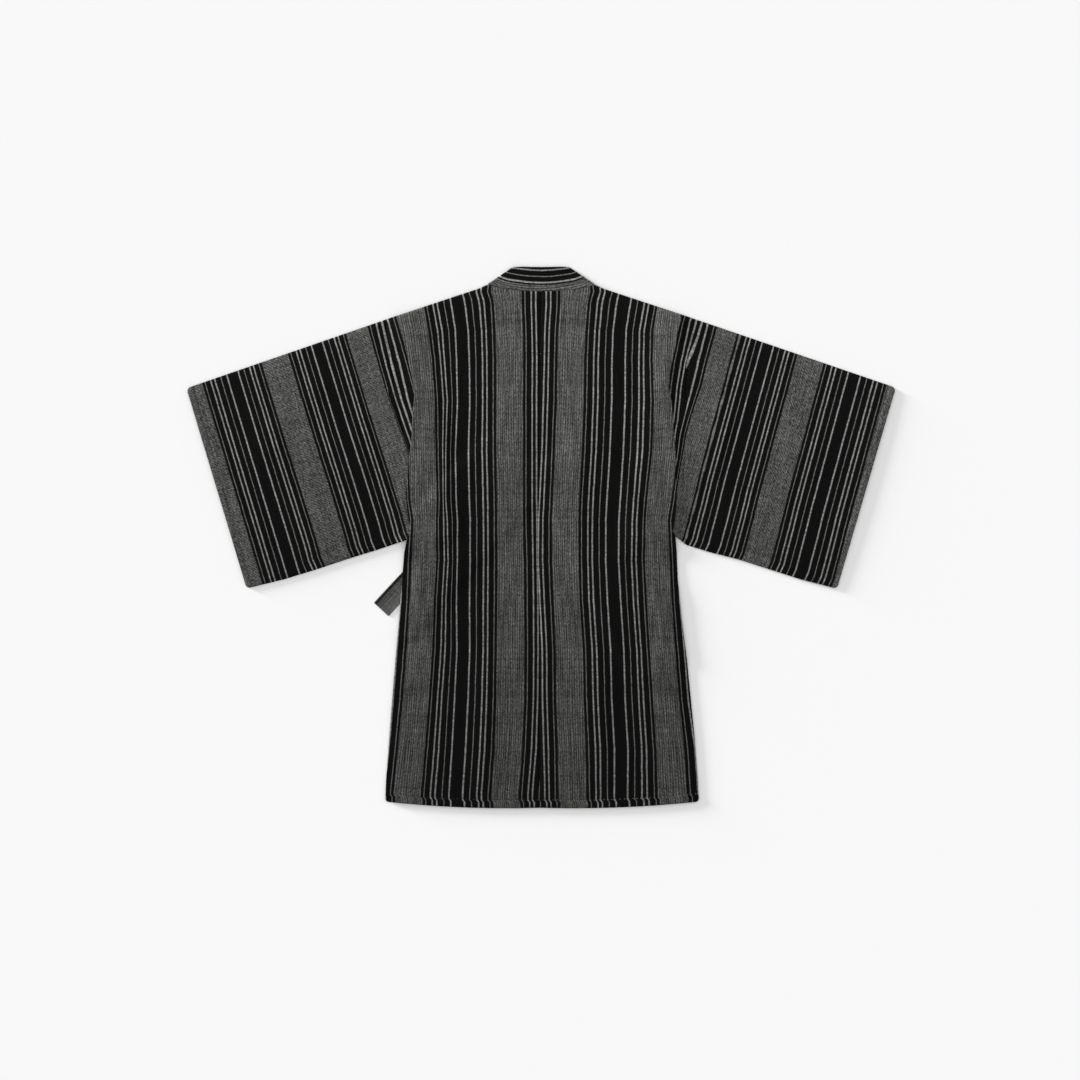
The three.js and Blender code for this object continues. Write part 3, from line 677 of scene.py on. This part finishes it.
def flat_tube(across, spine, wall, cut_width, rolled=0.0, spread=1.0):
    """Cloth sewn into a flat tube.

    spine has a row for each section: its two edges, the direction of its thickness, and how far
    the cloth has rolled and spread there, from 0 to 1.
    """
    rows = len(spine) - 1
    a, b, n = (np.array([row[i] for row in spine], float) for i in range(3))
    shifted = np.array([row[3] for row in spine])
    steps = np.linalg.norm(np.diff((a + b) / 2, axis=0), axis=-1)
    along = np.concatenate([[0], np.cumsum(steps)])

    def place(column, row):
        angle = 2 * np.pi * column / across
        share = (1 - np.cos(angle)) / 2
        width = np.linalg.norm(b[row] - a[row], axis=-1)
        from_edge = np.minimum(share, 1 - share) * width / (wall / 2)
        rounding = np.sqrt(np.clip(1 - (1 - np.minimum(from_edge, 1)) ** 2, 0, 1))
        lift = np.sign(np.round(np.sin(angle), 6)) * rounding * wall / 2
        points = a[row] + (b[row] - a[row]) * share[:, None] + n[row] * lift[:, None]
        from_free = shifted[row] * rolled + mix(1, spread, shifted[row]) * (1 - share) * width
        return points, np.stack([cut_width - from_free, along[row]], axis=-1)

    return closed_ends(cloth_grid(across, rows, place))


def band_spine(step):
    """Rows from the left front's hem, round the neck, to the right front's hem."""
    fold_sewn, fold_free = BAND_FOLD
    outwards = np.array([fold_free[1] - fold_sewn[1], fold_sewn[0] - fold_free[0]])
    outwards = outwards / np.linalg.norm(outwards)
    radius = (BAND_WALL + GAP) / 2
    keys = []
    for x, free in BAND_BACK:
        keys.append(((x, neckline(x) + GAP), free, 0.0, (x / fold_sewn[0]) ** 2))
    for turn in np.linspace(0, 180, 9):
        keys.append((fold_sewn, fold_free, turn, 1.0))
    for index, (sewn, free) in enumerate(BAND_FRONT):
        keys.append((sewn, free, 180.0, max(0.0, 1 - index / 2)))
    half = []
    for sewn, free, turn, shifted in keys:
        angle = math.radians(turn)
        z = BAND_WALL / 2 + radius * (1 + math.cos(angle))
        normal = np.array([*(math.sin(angle) * outwards), math.cos(angle)])
        edges = [np.array([*(np.array(edge) + radius * normal[:2]), z]) for edge in (sewn, free)]
        half.append((*edges, normal, shifted))
    # more rows between the keys where they lie far apart
    fine = [half[0]]
    for before, after in zip(half[:-1], half[1:]):
        gap = np.linalg.norm(after[0] - before[0])
        count = max(1, int(gap / step))
        for i in range(1, count + 1):
            t = i / count
            normal = mix(before[2], after[2], t)
            normal = normal / np.linalg.norm(normal)
            edges = [mix(before[k], after[k], t) for k in range(2)]
            fine.append((*edges, normal, mix(before[3], after[3], t)))
    flip = np.array([-1, 1, 1])
    left = [(a * flip, b * flip, n * flip, shifted) for a, b, n, shifted in reversed(fine)]
    return left + fine[1:]


def tie_spine(x, y, heading, step):
    half = TIE_WIDTH / 2
    stations = np.append(np.arange(0, TIE_LENGTH - 3, step), [TIE_LENGTH - 1.0, TIE_LENGTH])
    along = np.array([math.cos(heading), math.sin(heading), 0])
    across = np.array([-math.sin(heading), math.cos(heading), 0])
    up = np.array([0, 0, 1.0])
    start = np.array([x, y, TIE_WALL / 2 + 0.02])
    spine = []
    for station in stations:
        edge = half - (1.5 if station == stations[-1] else 0)
        middle = start + along * station
        spine.append((middle - across * edge, middle + across * edge, up, 0.0))
    return spine


def stitches(places, length, width):
    """Short threads laid at rows of x, y, z and heading, in mm and radians."""
    bm = bmesh.new()
    layer = bm.loops.layers.uv.new(UV_NAME)
    for x, y, z, heading in places:
        made = bmesh.ops.create_icosphere(bm, subdivisions=1, radius=0.5 * MM)
        verts = made["verts"]
        bmesh.ops.scale(bm, vec=(length, width, width), verts=verts)
        bmesh.ops.rotate(bm, verts=verts, cent=(0, 0, 0), matrix=Matrix.Rotation(heading, 3, "Z"))
        bmesh.ops.translate(bm, verts=verts, vec=(x * MM, y * MM, z * MM))
    for face in bm.faces:
        for loop in face.loops:
            loop[layer].uv = loop.vert.co.xy
    return bm


def hem_stitches(side, step):
    half = BODY_EDGE[side][0][1]
    out = np.arange(7.0, half - 4, step)
    x = SIGN[side] * (out + 0.8 * np.sin(out * 1.7))
    y = hem_line(side, out) + HEM_STITCH + 0.4 * np.sin(out * 2.3)
    z = back_height(side, x, y) + STITCH_HEIGHT
    return list(zip(x, y, z, 0.12 * np.sin(out * 3.1)))


def tie_stitches(x, y, heading, step):
    across = np.arange(2 - TIE_WIDTH / 2, TIE_WIDTH / 2 - 1, step)
    along = TIE_LENGTH - TIE_STITCH
    places = []
    for offset in across:
        place_x = x + math.cos(heading) * along - math.sin(heading) * offset
        place_y = y + math.sin(heading) * along + math.cos(heading) * offset
        places.append((place_x, place_y, TIE_WALL, heading + math.pi / 2))
    return places


# ======== materials ========
class Tree:
    """Short way to add nodes to a material."""

    def __init__(self, name):
        self.material = bpy.data.materials.new(name)
        self.material.use_nodes = True
        self.nodes = self.material.node_tree.nodes
        self.links = self.material.node_tree.links
        self.nodes.clear()

    def add(self, kind, inputs=None, **settings):
        made = self.nodes.new(kind)
        for key, value in settings.items():
            setattr(made, key, value)
        for key, value in (inputs or {}).items():
            if isinstance(value, bpy.types.NodeSocket):
                self.links.new(value, made.inputs[key])
            else:
                made.inputs[key].default_value = value
        return made

    def math(self, operation, a, b=0.0, c=0.0):
        return self.add("ShaderNodeMath", {0: a, 1: b, 2: c}, operation=operation).outputs[0]

    def product(self, *factors):
        made = factors[0]
        for factor in factors[1:]:
            made = self.math("MULTIPLY", made, factor)
        return made

    def scaled(self, colour, factor):
        made = self.add("ShaderNodeVectorMath", {0: tuple(colour), "Scale": factor}, operation="SCALE")
        return made.outputs[0]

    def profile(self, value, stops):
        """A ramp through (position, height) stops."""
        ramp = self.add("ShaderNodeValToRGB", {0: value})
        elements = ramp.color_ramp.elements
        while len(elements) < len(stops):
            elements.new(1.0)
        for element, (position, height) in zip(elements, stops):
            element.position = position
            element.color = (height, height, height, 1)
        return ramp.outputs["Color"]

    def mix_colour(self, share, a, b):
        return self.add("ShaderNodeMix", {0: share, 6: a, 7: b}, data_type="RGBA").outputs[2]


def line_stops(lines, reach, soft=0.5):
    """Ramp stops of light lines: (middle, half width, height) in mm, over a reach in mm."""
    stops = [(0.0, 0.0)]
    for middle, half, height in lines:
        stops += [((middle - half - soft) / reach, 0.0), ((middle - half) / reach, height),
                  ((middle + half) / reach, height), ((middle + half + soft) / reach, 0.0)]
    return stops


def cloth_material(name, fabric, lines, ground, lean, repeats=False, shade_by=1.0):
    """Crepe cotton. lines are its pale lines, ground the places where grey and black change.

    lean turns the crinkles and ribs away from the threads.
    """
    plain = lean == 0
    tree = Tree(name)
    uv = tree.add("ShaderNodeUVMap", uv_map=UV_NAME).outputs["UV"]
    across = tree.add("ShaderNodeSeparateXYZ", {0: uv}).outputs["X"]
    reach = REPEAT / 2

    def noise_over(grain, turn=0.0):
        across_scale, along_scale, detail = grain
        turned = tree.add("ShaderNodeMapping", {"Vector": uv, "Rotation": (0, 0, turn)}).outputs[0]
        tilted = tree.add("ShaderNodeMapping", {
            "Vector": turned, "Scale": (across_scale, along_scale, 1), "Rotation": GRAIN_TILT,
        }).outputs[0]
        made = tree.add("ShaderNodeTexNoise", {"Vector": tilted, "Scale": 1.0, "Detail": detail})
        return made.outputs["Fac"]

    def around_one(value, amount):
        return tree.math("MULTIPLY_ADD", tree.math("SUBTRACT", value, 0.5), amount, 1.0)

    # which line or ground lies at a place
    aside = tree.math("SUBTRACT", noise_over(LINE_WANDER_GRAIN), 0.5)
    wandered = tree.math("MULTIPLY_ADD", aside, LINE_WANDER, across)
    if repeats:
        wandered = tree.math("PINGPONG", wandered, reach * MM)
    position = tree.math("DIVIDE", wandered, reach * MM)
    field = tree.profile(position, [(place / reach, height) for place, height in ground])
    line = tree.profile(position, line_stops(lines, reach))

    # threads, crinkles and the ribs between them
    threads = noise_over(THREAD_GRAIN)
    crepe = noise_over(CREPE_GRAIN if plain else SLEEVE_CREPE_GRAIN, lean)
    leaning = tree.add("ShaderNodeMapping", {"Vector": uv, "Rotation": (0, 0, lean)}).outputs[0]
    rib_place = tree.add("ShaderNodeSeparateXYZ", {0: leaning}).outputs["X"]
    rib_turns = tree.math("MULTIPLY", rib_place, 2 * math.pi / fabric.thread_pitch)
    wander = noise_over(RIB_WANDER if plain else SLEEVE_RIB_WANDER)
    wave = tree.math("SINE", tree.math("MULTIPLY_ADD", wander, RIB_WANDER_TURN, rib_turns))
    ribs = tree.math("MULTIPLY_ADD", wave, 0.5, 0.5)
    grain = tree.product(
        around_one(threads, fabric.thread_contrast * (1.0 if plain else 0.7)),
        around_one(crepe, fabric.crepe_contrast * (0.75 if plain else 1.05)),
        around_one(ribs, fabric.rib_contrast * (1.0 if plain else 0.8)),
    )
    grain = tree.math("MAXIMUM", grain, DARKEST_GRAIN)
    beaded = tree.math("MAXIMUM", around_one(noise_over(BEAD_GRAIN), fabric.bead_contrast), DARKEST_BEAD)

    # uneven patches and rows of the cloth, thin darker rows across it, and painted shade that darkens the
    # cloth towards the hem
    # thin darker rows across the cloth, where the noise passes its middle
    dark_row_stops = ((0, 1), (0.47, 1), (0.5, fabric.dark_row_tone), (0.53, 1))
    uneven_tone = tree.product(
        around_one(noise_over(PATCH_GRAIN), PATCH_CONTRAST),
        around_one(noise_over(WEFT_GRAIN), fabric.weft_contrast),
        tree.profile(noise_over(DARK_ROW_GRAIN), dark_row_stops),
    )
    # painted shade: darker from the shoulders down to the hem, standing in for light that falls off
    # downwards
    at = tree.add("ShaderNodeSeparateXYZ", {0: tree.add("ShaderNodeTexCoord").outputs["Object"]})
    painted_hem_shade = tree.add("ShaderNodeMapRange", {
        "Value": at.outputs["Y"], "From Min": PAINTED_SHADE_FROM, "From Max": PAINTED_SHADE_TO,
        "To Min": fabric.painted_low_shade, "To Max": 1.0,
    }).outputs[0]

    # the grey, the pale lines and the black all carry the painted hem shade, and the black carries it twice
    grey = tree.scaled(fabric.grey, tree.product(painted_hem_shade, uneven_tone, grain, shade_by))
    light = tree.scaled(fabric.light, tree.product(painted_hem_shade, beaded, uneven_tone))
    black = tree.scaled(fabric.black, tree.product(grain, painted_hem_shade, painted_hem_shade))
    colour = tree.mix_colour(line, tree.mix_colour(field, black, grey), light)
    relief = tree.math("MULTIPLY_ADD", threads, 0.4, tree.math("MULTIPLY", crepe, 0.6))
    relief = tree.math("MULTIPLY_ADD", line, 0.3, relief)
    bump = tree.add("ShaderNodeBump", {"Strength": fabric.relief, "Distance": 0.0005, "Height": relief})
    shader = tree.add("ShaderNodeBsdfPrincipled", {
        "Base Color": colour, "Roughness": 0.92, "Specular IOR Level": 0.06, "Normal": bump.outputs[0],
        "Sheen Weight": fabric.sheen, "Sheen Roughness": 0.6,
    })
    tree.add("ShaderNodeOutputMaterial", {"Surface": shader.outputs[0]})
    return tree.material


def material_named(name):
    found = bpy.data.materials.get(name)
    if found is None:
        raise RuntimeError(f"make the cloth first: {name} is missing")
    return found


# ======== settings ========
class KimonoFabric(bpy.types.PropertyGroup):
    grey: FloatVectorProperty(
        name="Grey", description="Colour of the grey ground at the shoulders",
        default=(0.0745, 0.0745, 0.0712), subtype="COLOR", size=3, min=0, max=1)
    black: FloatVectorProperty(
        name="Black", description="Colour of the black threads",
        default=(0.0022, 0.0022, 0.0021), subtype="COLOR", size=3, min=0, max=1)
    light: FloatVectorProperty(
        name="Light line", description="Colour of the pale lines at the shoulders",
        default=(0.235, 0.235, 0.224), subtype="COLOR", size=3, min=0, max=1)
    # painted shade: how dark the cloth is painted at the hem against the shoulders
    painted_low_shade: FloatProperty(
        name="Shade at the hem", description="Brightness at the hem against the shoulders",
        default=0.56, min=0, max=1, subtype="FACTOR")
    tie_shade: FloatProperty(
        name="Shade of the ties", description="Their brightness against the body",
        default=0.64, min=0, max=1, subtype="FACTOR")
    thread_contrast: FloatProperty(
        name="Thread contrast", description="Unevenness of the warp threads",
        default=1.9, min=0, max=9)
    rib_contrast: FloatProperty(
        name="Rib contrast", description="Contrast of the ribs between the threads",
        default=0.8, min=0, max=2)
    thread_pitch: FloatProperty(
        name="Rib pitch", description="From one rib to the next",
        default=0.0043, min=0.001, max=0.02, unit="LENGTH")
    crepe_contrast: FloatProperty(
        name="Crepe contrast", description="Unevenness of the crinkled ground",
        default=4.3, min=0, max=9)
    bead_contrast: FloatProperty(
        name="Bead contrast", description="Unevenness along the pale lines",
        default=1.7, min=0, max=9)
    weft_contrast: FloatProperty(
        name="Weft contrast", description="Unevenness from one row to the next",
        default=0.6, min=0, max=4)
    # brightness of the thin darker rows across the cloth
    dark_row_tone: FloatProperty(
        name="Rubbed rows", description="Brightness of the few rows that lie deeper",
        default=0.8, min=0, max=1, subtype="FACTOR")
    relief: FloatProperty(
        name="Relief", description="Strength of the crinkles' relief",
        default=0.2, min=0, max=1, subtype="FACTOR")
    sheen: FloatProperty(
        name="Sheen", description="Soft fibre sheen",
        default=0.015, min=0, max=1, subtype="FACTOR")
    thickness: FloatProperty(
        name="Cloth thickness", description="Thickness of one layer",
        default=0.0011, min=0.0003, max=0.003, unit="LENGTH")


class KimonoCut(bpy.types.PropertyGroup):
    panel_columns: IntProperty(
        name="Panel columns", description="Cells across a body panel",
        default=72, min=12, max=120)
    row_step: FloatProperty(
        name="Row spacing", description="Distance between rows of a back panel, in mm",
        default=4.0, min=2, max=20)
    front_step: FloatProperty(
        name="Front row spacing", description="The same on the fronts, in mm",
        default=7.0, min=3, max=30)
    sleeve_across: IntProperty(
        name="Sleeve columns", description="Cells round a sleeve",
        default=184, min=40, max=400)
    sleeve_step: FloatProperty(
        name="Sleeve row spacing", description="Distance between a sleeve's rows, in mm",
        default=3.8, min=2, max=20)


class KimonoStage(bpy.types.PropertyGroup):
    camera_height: FloatProperty(
        name="Camera height", description="Height of the camera over the surface",
        default=5.705, min=1, max=20, unit="LENGTH")
    lens: FloatProperty(
        name="Lens", description="Focal length in mm",
        default=100.0, min=20, max=200)
    sky: FloatProperty(
        name="Sky", description="Strength of the even light from all round",
        default=0.903, min=0, max=5)
    sun: FloatProperty(
        name="Low light", description="Strength of the low light on the surface",
        default=0.86, min=0, max=5)
    sun_height: FloatProperty(
        name="Low light's height", description="Angle over the surface",
        default=math.radians(5.2), min=0.05, max=1.5, subtype="ANGLE")
    sun_heading: FloatProperty(
        name="Low light's heading", description="Direction in which it shines",
        default=math.radians(-27), min=-3.2, max=3.2, subtype="ANGLE")
    sun_size: FloatProperty(
        name="Low light's size", description="Angle across it",
        default=math.radians(10), min=0, max=1.5, subtype="ANGLE")
    floor_size: FloatProperty(
        name="Surface size", description="Side of the pale surface",
        default=14.0, min=2, max=50, unit="LENGTH")


# ======== operators ========
class KIMONO_OT_stage(bpy.types.Operator):
    """Sets the camera over the jacket, the pale surface and the soft light"""
    bl_idname = "kimono.stage"
    bl_label = "Stage"

    def execute(self, context):
        stage = context.scene.kimono_stage
        scene = context.scene
        camera = bpy.data.cameras.new("camera")
        camera.lens = stage.lens
        camera.sensor_width = SENSOR_WIDTH
        camera.clip_end = 100.0
        scene.camera = made_object("camera", camera)
        scene.camera.location = (*CAMERA_PLACE, stage.camera_height)
        bm = bmesh.new()
        bmesh.ops.create_grid(bm, x_segments=1, y_segments=1, size=stage.floor_size / 2)
        tree = Tree("pale surface")
        shader = tree.add("ShaderNodeBsdfPrincipled", {
            "Base Color": SURFACE_GREY, "Roughness": 0.9, "Specular IOR Level": 0.1,
        })
        tree.add("ShaderNodeOutputMaterial", {"Surface": shader.outputs[0]})
        made_object("surface", made_mesh("surface", bm, tree.material))
        world = bpy.data.worlds.new("studio")
        world.use_nodes = True
        background = world.node_tree.nodes["Background"]
        background.inputs["Color"].default_value = (1, 1, 1, 1)
        background.inputs["Strength"].default_value = stage.sky
        scene.world = world
        sun = bpy.data.lights.new("low light", "SUN")
        sun.angle = stage.sun_size
        sun.energy = stage.sun / math.sin(stage.sun_height)
        sun_object = made_object("low light", sun)
        aim = Vector((math.cos(stage.sun_heading), math.sin(stage.sun_heading), -math.tan(stage.sun_height)))
        sun_object.rotation_mode = "QUATERNION"
        sun_object.rotation_quaternion = aim.to_track_quat("-Z", "Y")
        scene.view_settings.view_transform = "Standard"
        return {"FINISHED"}


class KIMONO_OT_cloth(bpy.types.Operator):
    """Makes the striped cotton, the band's cloth and the tie's cloth"""
    bl_idname = "kimono.cloth"
    bl_label = "Cloth"

    def execute(self, context):
        fabric = context.scene.kimono_fabric
        reach = REPEAT / 2
        ground = ((0, 0), (GREY_START, 0), (GREY_START, 1), (reach, 1))
        for name, lean in (("striped cotton", 0.0), ("left sleeve cotton", SLEEVE_LEAN),
                           ("right sleeve cotton", -SLEEVE_LEAN)):
            cloth_material(name, fabric, REPEAT_LINES, ground, lean, repeats=True)
        band_ground = ((0, 1), (BAND_GREY, 1), (BAND_GREY, 0), (reach, 0))
        cloth_material("band cotton", fabric, BAND_LINES, band_ground, 0.0)
        start, end = TIE_BLACK
        tie_ground = ((0, 1), (start, 1), (start, 0), (end, 0), (end, 1), (reach, 1))
        cloth_material("tie cotton", fabric, (), tie_ground, 0.0, shade_by=fabric.tie_shade)
        cloth_material("sewing thread", fabric, (), ((0, 1), (reach, 1)), 0.0)
        return {"FINISHED"}


class KIMONO_OT_body(bpy.types.Operator):
    """Makes the two body lengths, folded over the shoulders"""
    bl_idname = "kimono.body"
    bl_label = "Body"

    def execute(self, context):
        cut = context.scene.kimono_cut
        cotton = material_named("striped cotton")
        for side in SIGN:
            bm = body_panel(side, cut.panel_columns, cut.row_step, cut.front_step)
            piece = finish_piece(f"cloth_body_{side}", bm, f"body_{side}", cotton)
            thicken(piece, context.scene.kimono_fabric.thickness)
        return {"FINISHED"}


class KIMONO_OT_sleeves(bpy.types.Operator):
    """Makes the two sleeves as flat tubes, folded along the top"""
    bl_idname = "kimono.sleeves"
    bl_label = "Sleeves"

    def execute(self, context):
        cut = context.scene.kimono_cut
        for side in SIGN:
            bm = sleeve_tube(side, cut.sleeve_across, cut.sleeve_step)
            cotton = material_named(f"{side} sleeve cotton")
            node = f"sleeve_{side}"
            piece = finish_piece(f"cloth_{node}", bm, node, cotton, weld=0.2 * MM)
            thicken(piece, context.scene.kimono_fabric.thickness)
        return {"FINISHED"}


class KIMONO_OT_collar(bpy.types.Operator):
    """Makes the collar band, folded double"""
    bl_idname = "kimono.collar"
    bl_label = "Collar band"

    def execute(self, context):
        cotton = material_named("band cotton")
        bm = flat_tube(48, band_spine(6.0), BAND_WALL, BAND_WIDTH, BAND_ROLL, BAND_SPREAD)
        piece = finish_piece("cloth_collar_band", bm, "collar_band", cotton)
        return {"FINISHED"}


class KIMONO_OT_ties(bpy.types.Operator):
    """Makes the two ties"""
    bl_idname = "kimono.ties"
    bl_label = "Ties"

    def execute(self, context):
        cotton = material_named("tie cotton")
        for name, (x, y, heading) in TIES.items():
            bm = flat_tube(40, tie_spine(x, y, heading, 6.0), TIE_WALL, TIE_WIDTH)
            piece = finish_piece(f"cloth_{name}", bm, name, cotton)
        return {"FINISHED"}


class KIMONO_OT_stitches(bpy.types.Operator):
    """Makes the hem's stitches and those that close the ties"""
    bl_idname = "kimono.stitches"
    bl_label = "Stitches"

    def execute(self, context):
        thread = material_named("sewing thread")
        hem = [place for side in SIGN for place in hem_stitches(side, 8.0)]
        finish_piece("stitches_hem", stitches(hem, length=3.2, width=0.9), None, thread)
        ends = [place for tie in TIES.values() for place in tie_stitches(*tie, 4.0)]
        finish_piece("stitches_ties", stitches(ends, length=2.4, width=0.7), None, thread)
        return {"FINISHED"}


class KIMONO_PT_panel(bpy.types.Panel):
    """Lists the steps of the kimono jacket"""
    bl_label = "Kimono Jacket"
    bl_idname = "KIMONO_PT_panel"
    bl_space_type = "VIEW_3D"
    bl_region_type = "UI"
    bl_category = "Kimono"

    def draw(self, context):
        layout = self.layout
        for group in (context.scene.kimono_fabric, context.scene.kimono_cut, context.scene.kimono_stage):
            box = layout.box()
            for key in group.__annotations__:
                box.prop(group, key)
        for step in STEPS:
            layout.operator(step.bl_idname)


STEPS = (KIMONO_OT_stage, KIMONO_OT_cloth, KIMONO_OT_body, KIMONO_OT_sleeves, KIMONO_OT_collar,
         KIMONO_OT_ties, KIMONO_OT_stitches)
GROUPS = {"kimono_fabric": KimonoFabric, "kimono_cut": KimonoCut, "kimono_stage": KimonoStage}


def register():
    for name, group in GROUPS.items():
        bpy.utils.register_class(group)
        setattr(bpy.types.Scene, name, PointerProperty(type=group))
    for item in (*STEPS, KIMONO_PT_panel):
        bpy.utils.register_class(item)


def unregister():
    for item in (*STEPS, KIMONO_PT_panel):
        bpy.utils.unregister_class(item)
    for name, group in GROUPS.items():
        delattr(bpy.types.Scene, name)
        bpy.utils.unregister_class(group)


def main():
    register()
    for step in STEPS:
        area, action = step.bl_idname.split(".")
        getattr(getattr(bpy.ops, area), action)()


if __name__ == "__main__":
    main()
